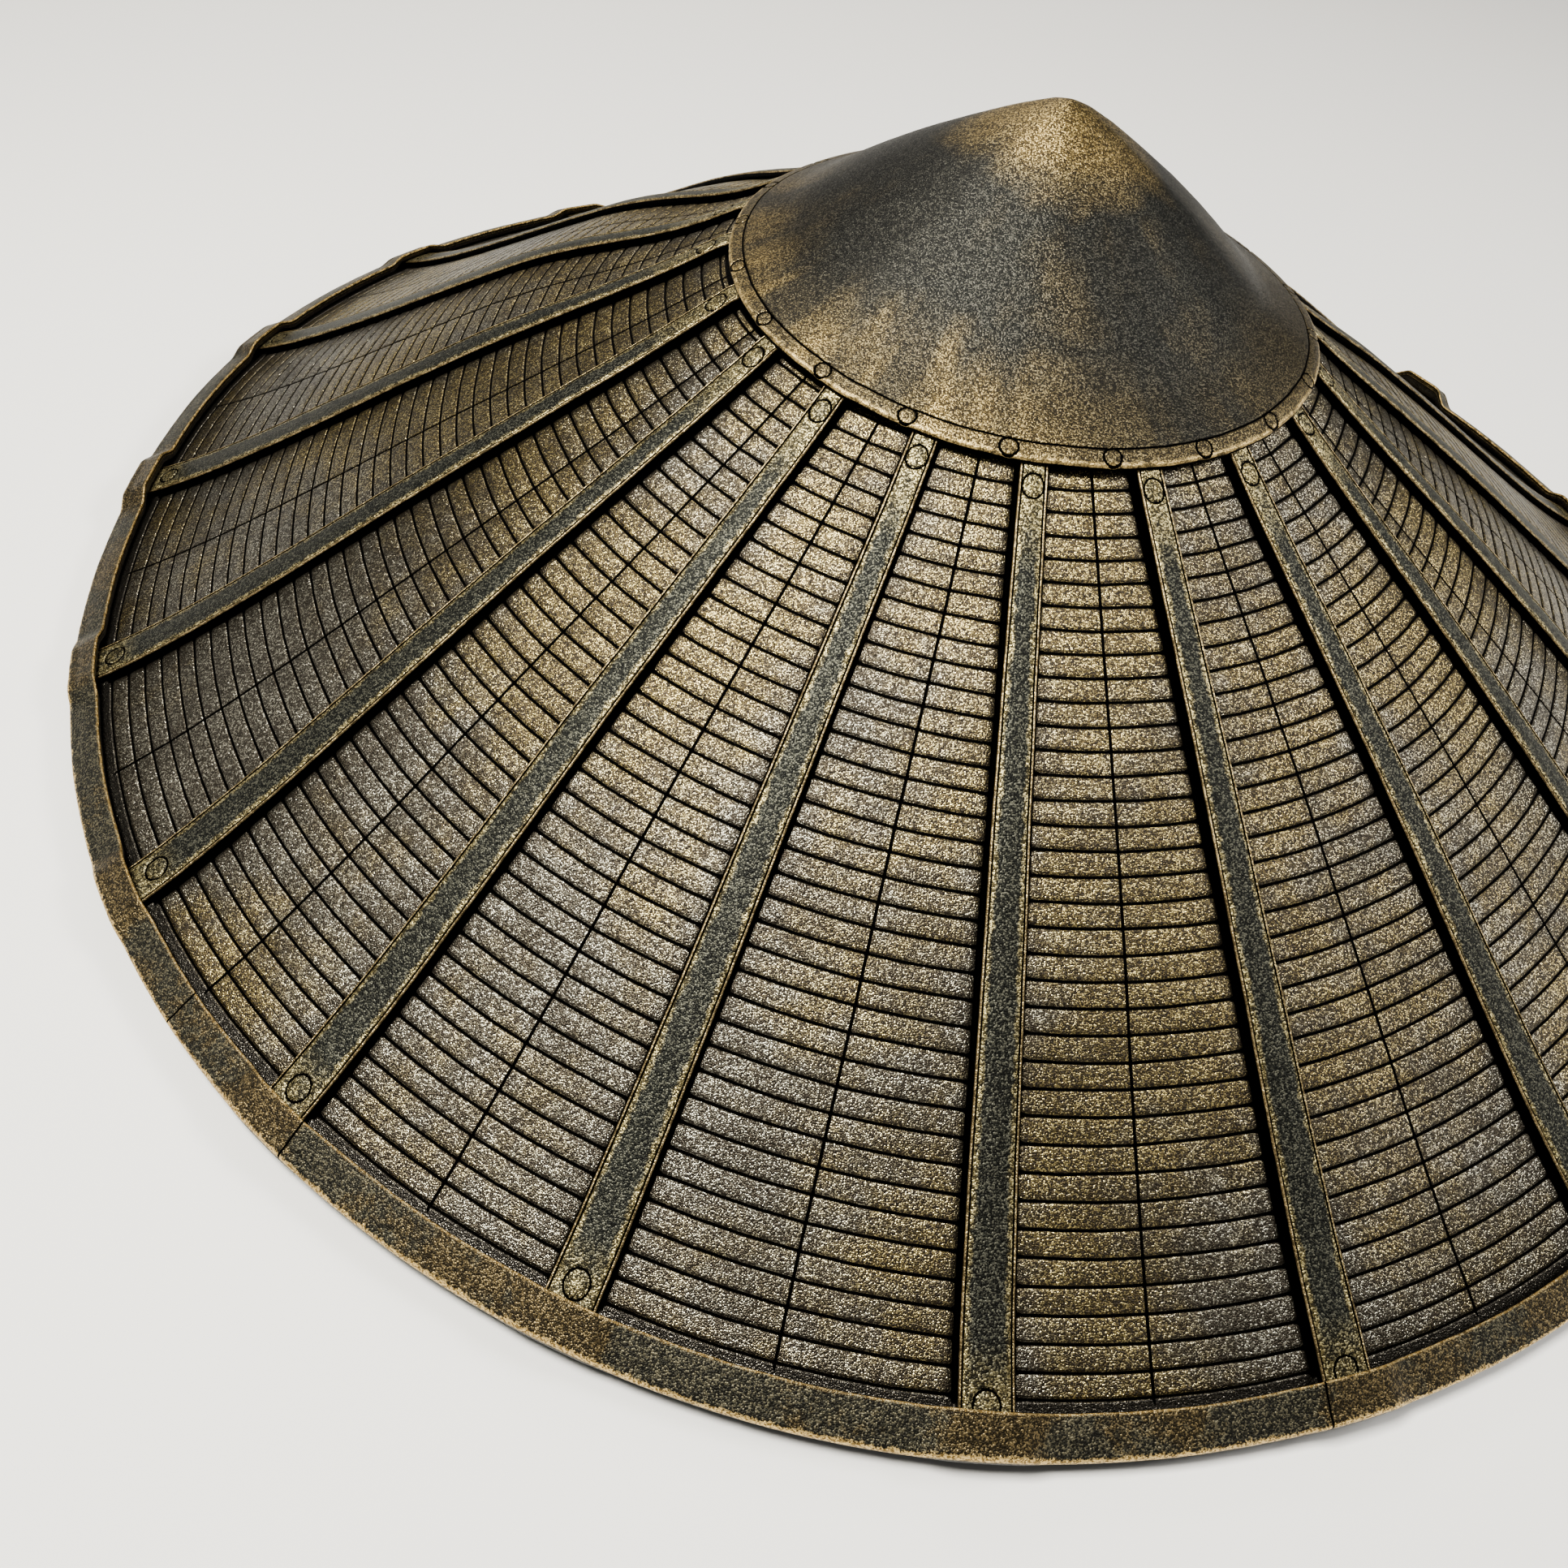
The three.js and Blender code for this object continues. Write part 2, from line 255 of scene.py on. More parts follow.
# ---- hat shell: slats scored into a flared cone -----------------------------------------------------
V_HALF = 0.46  # half the width of a scored line
V_DEPTH = 0.55
FLAT = 0.64  # from a scored line's middle to where the slat is flat


def shell_rows():
    """(line index or None, offset from the line, height) for each row of the slatted surface"""
    rows = []
    for j in range(LINES):
        rows += [(j, -V_HALF, -0.12), (j, 0.0, -V_DEPTH), (j, V_HALF, -0.12), (j, FLAT, 0.0)]
        if j < LINES - 1:
            rows += [(j, SLAT_PITCH / 2, 0.005), (j, SLAT_PITCH - FLAT, 0.0)]
    return rows


def build_shell():
    slat_rows = shell_rows()
    inner = [5.0, 12.0, 22.0, 34.0, 46.0, 57.0, 66.0, 71.5]
    outer = [231.0, 232.4, 234.4, SHELL_EDGE_RADIUS - 0.4]
    radii = np.array(inner + [float(line_radius(j)) + o for j, o, _ in slat_rows] + outer)
    n = len(radii)
    plain = np.ones(n, bool)
    plain[len(inner) : len(inner) + len(slat_rows)] = False
    line = np.array([0] * len(inner) + [j for j, _, _ in slat_rows] + [LINES - 1] * len(outer))
    off = np.array([0.0] * len(inner) + [o for _, o, _ in slat_rows] + [0.0] * len(outer))
    rise = np.array([0.0] * len(inner) + [h for _, _, h in slat_rows] + [0.0] * len(outer))

    used = np.clip(radii, 70.0, None)
    degs, heights, cut, lay, flare = [], [], [], [], []
    for i in range(RIB_COUNT):
        left = rib_deg(i, used) + np.degrees(half_width(used) / used)
        right = rib_deg(i + 1, used) - np.degrees(half_width(used) / used)
        width = np.radians(right - left) * used
        g_left = RECESS[i][1] * (1 + 0.25 * wave(100 + i, used, 60))
        g_right = RECESS[(i + 1) % RIB_COUNT][0] * (1 + 0.25 * wave(140 + i, used, 60))
        d, s = CENTRE_LINE.get(i + 1, (0.0, 0.0))
        middle = 18.0 * (i + 0.5) + d + s * (used / RIM_RADIUS - 0.65)
        centre = np.radians(middle - left) * used + 0.08 * wave(180 + i, used, 70)
        a, b = g_left + 1.5, centre - 0.9
        c, e = centre + 0.9, width - g_right - 1.5
        floor = -0.75
        columns = [
            (rib_deg(i, used), floor, 1.0, 0.0),
            (left + np.degrees(-0.9 / used), floor, 1.0, 0.0),
            (left + np.degrees((g_left - 0.25) / used), floor, 1.0, 0.0),
            (left + np.degrees((g_left + 0.15) / used), -0.42, 0.75, 0.9),
            (left + np.degrees((g_left + 0.6) / used), -0.12, 0.1, 0.6),
            (left + np.degrees(a / used), -0.02, 0.0, 0.15),
            (left + np.degrees((a * 2 + b) / 3 / used), 0.0, 0.0, 0.0),
            (left + np.degrees((a + b * 2) / 3 / used), 0.0, 0.0, 0.0),
            (left + np.degrees((centre - 0.5) / used), -0.12, 0.0, 0.0),
            (left + np.degrees(centre / used), -0.5, 1.25, 0.0),
            (left + np.degrees((centre + 0.5) / used), -0.12, 0.0, 0.0),
            (left + np.degrees((c * 2 + e) / 3 / used), 0.0, 0.0, 0.0),
            (left + np.degrees((c + e * 2) / 3 / used), 0.0, 0.0, 0.0),
            (left + np.degrees(e / used), -0.02, 0.0, 0.15),
            (left + np.degrees((width - g_right - 0.6) / used), -0.12, 0.1, 0.6),
            (left + np.degrees((width - g_right - 0.15) / used), -0.42, 0.75, 0.9),
            (left + np.degrees((width - g_right + 0.25) / used), floor, 1.0, 0.0),
            (left + np.degrees((width + 0.9) / used), floor, 1.0, 0.0),
        ]
        for deg, z, k, f in columns:
            degs.append(deg)
            heights.append(np.full(n, z))
            cut.append(np.full(n, k))
            flare.append(np.full(n, f))
            mm = np.radians(deg - left) * used
            near = np.minimum(mm - g_left, width - g_right - mm)
            lay.append(np.stack([radii, mm - centre, near], -1))
    deg = np.array(degs).T
    height = np.array(heights).T
    cut = np.array(cut).T
    flare = np.array(flare).T
    lay = np.transpose(np.array(lay), (1, 0, 2))

    # hand-drawn lines wander a little, and open out where a slat ends
    wander = np.zeros((n, deg.shape[1]))
    for j in range(LINES):
        rows = np.where(~plain & (line == j))[0]
        wander[rows] = 0.13 * wave(300 + j, deg[rows], 40, 7) + 0.06 * wave(400 + j, deg[rows], 9, 3)
    r = np.where(plain[:, None], radii[:, None], 0) + 0 * deg
    for k in range(n):
        if plain[k]:
            continue
        j, o = line[k], off[k]
        here = line_radius(j) + wander[k]
        if j < LINES - 1:
            ahead = line_radius(j + 1) + 0.13 * wave(300 + j + 1, deg[k], 40, 7) + 0.06 * wave(400 + j + 1, deg[k], 9, 3)
        else:
            ahead = here + SLAT_PITCH
        grow = 1 + 0.75 * flare[k]
        if abs(o) <= V_HALF:
            r[k] = here + o * grow
        elif o == FLAT:
            r[k] = here + FLAT + 0.4 * flare[k]
        elif o > 3:
            r[k] = ahead - FLAT - 0.4 * flare[k]
        else:
            r[k] = (here + ahead) / 2
    slat = rise[:, None] * np.ones_like(r)
    across = np.where(plain[:, None], 0.0, slat)
    z_lift = np.where(plain[:, None], np.where(radii[:, None] < 73, -0.3, -0.3), np.minimum(across, height) * 0.85 + 0.15 * (across + height))
    # each slat's end stands a little above or below the next
    hand = 0.05 * wave(500, r * 3.1 + deg * 1.7, 37, 6)
    z_lift = z_lift + np.where(plain[:, None] | (height < -0.3), 0, hand)
    line_cut = (np.abs(off) < 1e-6) & ~plain
    cut = np.maximum(cut, line_cut[:, None] * 1.0)
    # Inside r = 73 mm, under the cap, the shell is coloured black: painted shade under the cap's edge.
    cut = np.where(plain[:, None], (radii < 73.0)[:, None] * 1.0, cut)
    ledge = (radii > line_radius(LINES - 1) + 0.3)[:, None] * 1.0
    top = leaned(r, deg, shell_top(r) + z_lift)
    kind = np.zeros_like(r)
    edge_deg = deg[-1]
    under_radii = np.array([SHELL_EDGE_RADIUS, SHELL_EDGE_RADIUS, 226, 210, 194, 178, 162, 146, 130, 114, 98, 84, 70, 54, 38, 22, 9.0])
    under_drop = np.array([-0.35] + [-SHELL_THICKNESS] * (len(under_radii) - 1))
    under_deg = np.array([[np.interp(max(q, 71.5), used, deg[:, c]) for c in range(deg.shape[1])] for q in under_radii])
    under = leaned(under_radii[:, None] + 0 * under_deg, under_deg, (shell_top(under_radii) + under_drop)[:, None] + 0 * under_deg)
    points = np.concatenate([top, under])
    cut = np.concatenate([cut, np.ones_like(under_deg) * 0.0])
    kind = np.concatenate([kind, np.ones_like(under_deg)])
    strip = np.concatenate([ledge + 0 * deg, 0 * under_deg])
    lay = np.concatenate([lay, np.stack([under_radii[:, None] + 0 * under_deg, under_deg, 20 + 0 * under_deg], -1)])
    return make_piece(
        "shell_slats",
        [(points, {"cut": vec(cut, kind, strip), "lay": lay}, False, True)],
        [(0, 0, (*APEX_LEAN, float(shell_top(0)) - 0.3), False), (0, -1, (*APEX_LEAN, float(shell_top(0)) - SHELL_THICKNESS), True)],
        ["hat_shell"],
    )


# ---- ribs --------------------------------------------------------------------------------------------
def build_rib(i):
    c_in = RIB_CIRCLE_INNER.get(i + 1, 78.4)
    c_out = RIB_CIRCLE_OUTER.get(i + 1, 228.8)
    step = 0.27
    near = np.arange(-2.97, 2.98, step)
    rows = np.concatenate([[RIB_INNER_RADIUS, 68.0, 72.0, 74.0], c_in + near, np.arange(c_in + 4, c_out - 3.5, 3.6), c_out + near, [233.6, RIB_OUTER_RADIUS]])
    rows = rows[rows <= RIB_OUTER_RADIUS + 1e-6]
    rows = np.unique(np.round(rows, 4))
    half = half_width(rows)
    # columns: distance in from the edge, on each side, then the middle
    ins = np.array([0.0, 0.08, 0.22, 0.38, 0.5, 0.62, 0.76, 0.95])
    share = np.linspace(0, 1, 9)[1:-1]
    s_cols = []
    for h in half:
        left = -h + ins
        right = h - ins[::-1]
        inner = np.linspace(-h + 0.95, h - 0.95, 15)[1:-1]
        s_cols.append(np.concatenate([left, inner, right]))
    s = np.array(s_cols)
    edge = half[:, None] - np.abs(s)
    top = np.interp(edge, [0, 0.08, 0.22, 0.38, 0.5, 0.62, 0.76, 0.95, 1.4, 4.5], [1.85, 2.06, 2.18, 2.16, 2.04, 1.62, 2.0, 2.14, 2.2, 2.33])
    along = rows[:, None] + 0 * s
    d_along = np.minimum(np.abs(along - c_in), np.abs(along - c_out))
    slope = 1.0
    size = np.where(np.abs(along - c_in) < np.abs(along - c_out), 1.0, 0.9)  # the outer circle is the larger
    d_along, s_size = d_along * size, s * size
    d = np.hypot(d_along * slope, s_size)
    ring = np.exp(-(((d - CIRCLE_RADIUS) / 0.2) ** 2))
    dome = np.where(d < CIRCLE_RADIUS, 0.05 * (1 - (d / CIRCLE_RADIUS) ** 2), 0)
    top = top - 0.42 * ring + dome
    top = top + 0.05 * wave(700 + i, along * 1.0 + s * 3, 47, 6)
    deg = rib_deg(i, rows)
    wobble = 0.1 * wave(730 + i, rows, 80, 6)
    ca, sa = np.cos(np.radians(deg)), np.sin(np.radians(deg))

    def place(offset, z_above):
        off = offset + wobble[:, None]
        x = rows[:, None] * ca[:, None] - off * sa[:, None]
        y = rows[:, None] * sa[:, None] + off * ca[:, None]
        z = shell_top(np.hypot(rows[:, None], off)) + z_above
        return np.stack([x, y, z], -1)

    upper = place(s, top)
    # the underside is lower where the shell is recessed for the rib, and lies on the shell past both ends of that
    low = np.where((rows < 76) | (rows > 228.5), -0.2, -0.62)
    low[rows < 70] = 0.0
    walls_r = place(np.stack([half - 0.02, half - 0.02], -1), np.stack([1.0 + 0 * low, low], -1))
    bottom = place(0 * half[:, None], low[:, None])
    walls_l = place(np.stack([-half + 0.02, -half + 0.02], -1), np.stack([low, 1.0 + 0 * low], -1))
    points = np.concatenate([upper, walls_r, bottom, walls_l], 1)
    zeros = np.zeros((len(rows), 5))
    edge_all = np.concatenate([edge, zeros], 1)
    wall = np.concatenate([0 * edge, zeros + 1], 1)
    wall[:, 0] = wall[:, edge.shape[1] - 1] = 0.35
    s_all = np.concatenate([s_size, zeros], 1)
    d_all = np.concatenate([d_along, zeros + 30], 1)
    d_all[:, -5:] = 30
    along_all = rows[:, None] + 0 * edge_all
    fields = {"edge": vec(edge_all, wall, along_all), "disc": vec(d_all, s_all, float(i))}
    name = "rib_strip_%02d" % (i + 1)
    node = "rib_%02d" % (i + 1)
    centre_in = points[0, :].mean(0)
    centre_out = points[-1, :].mean(0)
    return make_piece(name, [(points, fields, False, True)], [(0, 0, centre_in, False), (0, -1, centre_out, True)], [node])


# ---- crown cap ----------------------------------------------------------------------------------------
def build_cap():
    # columns: closer together where the small circles are
    cols = []
    centres = 18.0 * np.arange(20) - 7.2
    for k in range(20):
        here = centres[k]
        dense = np.arange(-2.35, 2.351, 0.235)
        gap = np.linspace(2.35, 18 - 2.35, 13)[1:-1]
        cols += list(here + dense) + list(here + gap)
    cols = np.array(cols)
    order = np.argsort(cols % 360)
    cols = (cols % 360)[order]
    edge_wobble = 0.18 * wave(800, cols, 360 / 7, 6) + 0.08 * wave(801, cols, 360 / 31, 4)
    px = (CAP_EDGE_RADIUS + edge_wobble) * np.cos(np.radians(cols)) + CAP_SHIFT[0]
    py = (CAP_EDGE_RADIUS + edge_wobble) * np.sin(np.radians(cols)) + CAP_SHIFT[1]
    edge_r, edge_deg = np.hypot(px, py), np.degrees(np.arctan2(py, px))
    steps_in = np.array([0.02, 0.04, 0.07, 0.1, 0.14, 0.19, 0.24, 0.3, 0.36, 0.42, 0.48, 0.54, 0.6, 0.66, 0.72, 0.78, 0.83, 0.87, 0.9, 0.92])
    flange = 1 - np.array([5.2, 4.5, 4.05, 3.8, 3.62, 3.46, 3.3, 3.14, 2.98, 2.76, 2.52, 2.28, 2.04, 1.8, 1.56, 1.32, 1.08, 0.84, 0.6, 0.38, 0.22, 0.1, 0.0]) / CAP_EDGE_RADIUS
    steps = np.concatenate([steps_in, flange])
    r = steps[:, None] * edge_r[None]
    deg = np.broadcast_to(edge_deg, r.shape)
    inward = (1 - steps)[:, None] * CAP_EDGE_RADIUS + 0 * r
    # where the nearest circle's middle is, along and in from the edge
    turn = (cols[None] - centres[0] + 9) % 18 - 9
    x = np.radians(turn) * CAP_EDGE_RADIUS * (1 - 2.0 / CAP_EDGE_RADIUS) + 0 * r
    y = (inward - 1.7) * 1.2
    d = np.hypot(x, y)
    ring = np.exp(-(((d - CAP_CIRCLE) / 0.22) ** 2))
    score = np.exp(-(((inward - CAP_SCORE) / 0.17) ** 2))
    z = crown_top(r)
    # the crown isn't turned on a lathe: soft dents and a slight ridge run down from the apex
    swell = smooth(0.02, 0.3, steps)[:, None] * (1 - smooth(0.75, 1.0, steps))[:, None]
    z = z + swell * (0.55 * wave(820, deg, 360 / 3, 5)) - 0.4 * ring - 0.42 * score
    z = z - np.interp(inward, [0, 0.1, 0.24, 0.5], [0.32, 0.14, 0.04, 0.0])
    top = leaned(r, deg, z)
    under_steps = np.array([1.0, 1.0, 0.97, 0.9, 0.78, 0.6, 0.42, 0.24, 0.1])
    under_drop = np.array([-0.9, -CAP_THICKNESS + 0.1] + [-CAP_THICKNESS] * 7)
    ru = under_steps[:, None] * edge_r[None]
    under = leaned(ru, np.broadcast_to(edge_deg, ru.shape), crown_top(ru) + under_drop[:, None])
    points = np.concatenate([top, under])
    zeros = np.zeros_like(ru)
    wall = np.concatenate([0 * r, zeros + 1])
    wall[len(steps) - 1] = 0.3
    fields = {
        "edge": vec(np.concatenate([inward, zeros]), wall, np.concatenate([r, ru])),
        "disc": vec(np.concatenate([np.abs(x), zeros + 30]), np.concatenate([y, zeros + 30]), 0.0),
    }
    apex = (*APEX_LEAN, 150.0)
    return make_piece(
        "crown_cone",
        [(points, fields, False, True)],
        [(0, 0, apex, False), (0, -1, (*APEX_LEAN, 150.0 - CAP_THICKNESS), True)],
        ["crown_cap"],
    )


# ---- rim band ------------------------------------------------------------------------------------------
def build_band():
    cols = list(np.arange(0, 360, 1 / 3.0))
    for d in SEAMS:
        cols = [c for c in cols if abs(c - d) > 0.24] + [d + o for o in (-0.2, -0.1, -0.05, 0.0, 0.05, 0.1, 0.2)]
    cols = np.array(sorted(cols))
    over = np.zeros_like(cols)
    lift = np.zeros_like(cols)
    for i in range(RIB_COUNT):
        c = float(rib_deg(i, BAND_INNER_RADIUS))
        delta = np.abs((cols - c + 180) % 360 - 180)
        t = 1 - smooth(1.45, 3.1, delta)
        over = np.maximum(over, t)
        lift = np.maximum(lift, (RIBS[i][2] - BUMP_EASE.get(i + 1, 0.0)) * t)
    seam = np.zeros_like(cols)
    for d in SEAMS:
        seam = np.maximum(seam, np.clip(1 - np.abs(cols - d) / 0.09, 0, 1))
    rise = 3.4 + lift
    n = len(cols)
    inner = BAND_INNER_RADIUS + 0.8 + 0.15 * wave(900, cols, 360 / 5, 9) + 0.1 * wave(901, cols, 360 / 40, 5) + 0.5 * over
    puff = 0.16 * wave(902, cols, 360 / 9, 8) - 0.35 * seam
    nick = 0.16 * wave(903, cols, 360 / 60, 6)  # the outer corner is rubbed uneven

    def at(r, z):
        return np.stack([r + 0 * cols, z + 0 * cols], -1)

    high = shell_top(232.9) + rise
    low = 6.9 + 0.85 * lift

    def face(r, extra=0.0):
        t = (r - 232.9) / (238.3 - 232.9)
        return at(r, high * (1 - t) + low * t + puff + extra)

    path = [
        at(inner + 0.02, shell_top(inner) + rise - 1.1),
        at(inner, shell_top(inner) + rise - 0.6),
        at(inner + 0.1, shell_top(inner + 0.1) + rise - 0.25),
        at(inner + 0.3, shell_top(inner + 0.3) + rise - 0.05),
        at(inner + 0.7, shell_top(inner + 0.7) + rise + 0.03 + 0.3 * puff),
        face(233.8 + 0.3 * over, 0.06),
        face(235.0 + 0.2 * over, 0.12),
        face(236.0, 0.14),
        face(237.0, 0.1),
        face(237.8 + 0.06 * lift, 0.04),
        at(238.6 + 0.12 * lift + 0.3 * nick, low - 0.05 + puff + 0.3 * nick),
        at(239.15 + 0.16 * lift + 0.4 * nick, low - 0.45 + 0.7 * puff),
        at(239.45 + 0.2 * lift + 0.5 * nick, low - 1.0 - 0.04 * lift),
        at(239.5 + 0.2 * lift + 0.3 * nick, low - 1.7 - 0.1 * lift),
        at(239.3 + 0.16 * lift + 0.2 * over, low - 2.7 - 0.2 * lift),
        at(238.95 + 0.1 * lift + 0.3 * over, low - 3.8 - 0.36 * lift),
        at(238.6 + 0.3 * over, 1.9 + 0.1 * lift),
        at(238.3 + 0.1 * over, 0.9),
        at(238.1, 0.3),
        at(237.8, 0.0),
        at(235.3, 0.0),
        at(234.6, 0.35),
        at(230.9, shell_top(230.4) - SHELL_THICKNESS - 0.33 - 2.2),
        at(230.45, shell_top(230.4) - SHELL_THICKNESS - 0.33 - 1.8),
        at(230.45, shell_top(230.4) - SHELL_THICKNESS - 0.4),
        at(237.2, shell_top(236.6) - SHELL_THICKNESS - 0.6),
        at(237.2, shell_top(236) + 0.45 + 2.33 * over),
        at(inner + 0.1, shell_top(inner) + 0.45 + 2.33 * over),
    ]
    outline = np.array(path)  # rows x columns x 2
    r, z = outline[..., 0], outline[..., 1]
    # how far along the outside each row is, in mm from the band's inner edge
    step = np.hypot(np.diff(r, axis=0), np.diff(z, axis=0))
    along = np.concatenate([np.zeros((1, n)), np.cumsum(step, 0)])
    deg = np.broadcast_to(cols, r.shape)
    seen = np.array([1.0] * 21 + [0.0] * 7)[:, None] + 0 * r
    past = along - along[11]  # beyond the rubbed outer corner
    fields = {"edge": vec(along, seen, seam[None] + 0 * r), "disc": vec(over[None] + 0 * r, deg, past)}
    points = polar(r, deg, z)
    return make_piece("band_fold", [(points, fields, True, True)], [], ["rim_band"])


# ---- materials -------------------------------------------------------------------------------------------
class Shade:
    """A short way to write one material's nodes."""

    def __init__(self, name):
        self.material = bpy.data.materials.new(name)
        self.material.use_nodes = True
        self.tree = self.material.node_tree
        self.tree.nodes.clear()
        self.out = self.node("ShaderNodeOutputMaterial")
        self.bsdf = self.node("ShaderNodeBsdfPrincipled")
        self.link(self.bsdf.outputs[0], self.out.inputs[0])
        self.bsdf.inputs["Specular IOR Level"].default_value = 0.25
        place = self.node("ShaderNodeTexCoord")
        self.mm = self.vmath("MULTIPLY", place.outputs["Object"], (1000, 1000, 1000))

    def node(self, kind):
        return self.tree.nodes.new(kind)

    def link(self, a, b):
        self.tree.links.new(a, b)

    def put(self, socket, value):
        if isinstance(value, bpy.types.NodeSocket):
            self.link(value, socket)
        elif isinstance(value, (tuple, list)) and len(value) == 3 and len(socket.default_value) == 4:
            socket.default_value = (*value, 1)
        else:
            socket.default_value = value

    def math(self, op, a, b=0.0, c=0.0, clamp=False):
        n = self.node("ShaderNodeMath")
        n.operation = op
        n.use_clamp = clamp
        for k, v in enumerate((a, b, c)):
            self.put(n.inputs[k], v)
        return n.outputs[0]

    def vmath(self, op, a, b=(0, 0, 0)):
        n = self.node("ShaderNodeVectorMath")
        n.operation = op
        self.put(n.inputs[0], a)
        self.put(n.inputs[1], b)
        return n.outputs["Value"] if op in ("LENGTH", "DOT_PRODUCT") else n.outputs["Vector"]

    def step(self, x, a, b, lo=0.0, hi=1.0):
        n = self.node("ShaderNodeMapRange")
        n.interpolation_type = "SMOOTHSTEP"
        self.put(n.inputs["Value"], x)
        self.put(n.inputs["From Min"], a)
        self.put(n.inputs["From Max"], b)
        self.put(n.inputs["To Min"], lo)
        self.put(n.inputs["To Max"], hi)
        return n.outputs["Result"]

    def mix(self, f, a, b):
        n = self.node("ShaderNodeMix")
        n.data_type = "RGBA"
        self.put(n.inputs["Factor"], f)
        sockets = [s for s in n.inputs if s.type == "RGBA"]
        self.put(sockets[0], a)
        self.put(sockets[1], b)
        return [s for s in n.outputs if s.type == "RGBA"][0]

    def blend(self, f, a, b):
        n = self.node("ShaderNodeMix")
        n.data_type = "FLOAT"
        self.put(n.inputs["Factor"], f)
        sockets = [s for s in n.inputs if s.type == "VALUE"][1:]
        self.put(sockets[0], a)
        self.put(sockets[1], b)
        return [s for s in n.outputs if s.type == "VALUE"][0]

    def noise(self, at, scale, detail=2.0, rough=0.5, distort=0.0):
        n = self.node("ShaderNodeTexNoise")
        self.put(n.inputs["Vector"], at)
        n.inputs["Scale"].default_value = scale
        n.inputs["Detail"].default_value = detail
        n.inputs["Roughness"].default_value = rough
        n.inputs["Distortion"].default_value = distort
        return n.outputs[0]

    def cells(self, at, scale):
        """A random value, the same over each small cell, and the cell's rounded height."""
        n = self.node("ShaderNodeTexVoronoi")
        n.inputs["Scale"].default_value = scale
        self.link(at, n.inputs["Vector"])
        parts = self.node("ShaderNodeSeparateColor")
        self.link(n.outputs["Color"], parts.inputs[0])
        d = n.outputs["Distance"]
        return parts.outputs[0], self.math("SUBTRACT", 1.0, self.math("MULTIPLY", d, d))

    def field(self, name):
        n = self.node("ShaderNodeAttribute")
        n.attribute_type = "GEOMETRY"
        n.attribute_name = name
        parts = self.node("ShaderNodeSeparateXYZ")
        self.link(n.outputs["Vector"], parts.inputs[0])
        return parts.outputs[0], parts.outputs[1], parts.outputs[2]

    def join(self, x, y, z=0.0):
        n = self.node("ShaderNodeCombineXYZ")
        for k, v in enumerate((x, y, z)):
            self.put(n.inputs[k], v)
        return n.outputs[0]

    def bump(self, height, distance, strength=1.0):
        n = self.node("ShaderNodeBump")
        n.inputs["Strength"].default_value = strength
        n.inputs["Distance"].default_value = distance
        self.put(n.inputs["Height"], height)
        return n.outputs[0]

    def finish(self, colour, rough, metal, normal):
        self.put(self.bsdf.inputs["Base Color"], colour)
        self.put(self.bsdf.inputs["Roughness"], rough)
        self.put(self.bsdf.inputs["Metallic"], metal)
        self.put(self.bsdf.inputs["Normal"], normal)
        return self.material


def pebble(s, size):
    """Grain whose size is the distance between pebbles in mm: how rubbed it is, and its height."""
    soft = s.noise(s.mm, 1.12 / size, 2.0, 0.6)
    cell, height = s.cells(s.mm, 1.4 / size)
    return s.math("ADD", s.math("MULTIPLY", soft, 0.55), s.math("MULTIPLY", cell, 0.45)), height


BLACK = (0.002, 0.0018, 0.0016)


def panel_material():
    s = Shade("slatted_sheet")
    cut, kind, strip = s.field("cut")
    radius, across, near = s.field("lay")
    grain, height = pebble(s, 0.43)
    raised = s.step(grain, 0.34, 0.52)
    crest = s.step(grain, 0.54, 0.70)
    broad = s.noise(s.mm, 0.016, 2.0, 0.5)
    mottle = s.noise(s.mm, 0.15, 3.0, 0.65)
    tone = s.math("ADD", s.math("MULTIPLY", broad, 0.66), s.math("MULTIPLY", mottle, 0.34))
    tone = s.math("SUBTRACT", tone, s.step(radius, 90.0, 215.0, -0.07, 0.035))
    gold = s.step(s.math("SUBTRACT", tone, s.step(near, 0.0, 8.0, 0.06, 0.0)), 0.40, 0.62)
    deep = s.mix(gold, (0.080, 0.072, 0.057), (0.104, 0.080, 0.041))
    pale = s.mix(gold, (0.48, 0.458, 0.375), (0.61, 0.50, 0.235))
    worn = s.step(s.noise(s.mm, 0.06, 2.0, 0.55), 0.32, 0.62, 0.62, 1.0)
    # Less rub within 3 mm of each rib, so the sheet is darker there: painted shade in the corner beside the rib.
    shade_beside_ribs = s.step(near, -0.4, 3.0, 0.30, 1.0)
    amount = s.math("MULTIPLY", worn, shade_beside_ribs)
    base = s.mix(s.math("MULTIPLY", raised, amount), (0.036, 0.030, 0.023), deep)
    base = s.mix(s.math("MULTIPLY", crest, amount), base, pale)
    ragged = s.math("ADD", cut, s.math("MULTIPLY", s.math("SUBTRACT", grain, 0.5), 0.45))
    # line blacks the scored lines and the recess floors, and also the shell under the cap, where the black is painted
    # shade.
    line = s.step(ragged, 0.30, 0.54)
    base = s.mix(strip, base, s.mix(crest, (0.034, 0.031, 0.027), (0.17, 0.157, 0.132)))
    shown = s.mix(line, base, BLACK)
    # the unpainted inside: the same grain in bare charcoal sheet, a little browner in patches
    bare = s.mix(gold, (0.034, 0.032, 0.029), (0.046, 0.038, 0.028))
    bare_high = s.mix(gold, (0.125, 0.117, 0.103), (0.150, 0.126, 0.093))
    inside = s.mix(s.step(grain, 0.38, 0.64), bare, bare_high)
    colour = s.mix(kind, shown, inside)
    rough = s.blend(s.math("MAXIMUM", line, kind), s.blend(crest, 0.36, 0.27), 0.6)
    metal = s.math("MAXIMUM", line, s.math("MULTIPLY", s.blend(raised, 0.8, 0.96), s.math("SUBTRACT", 1.0, kind)))
    return s.finish(colour, rough, metal, s.bump(height, 0.00011))


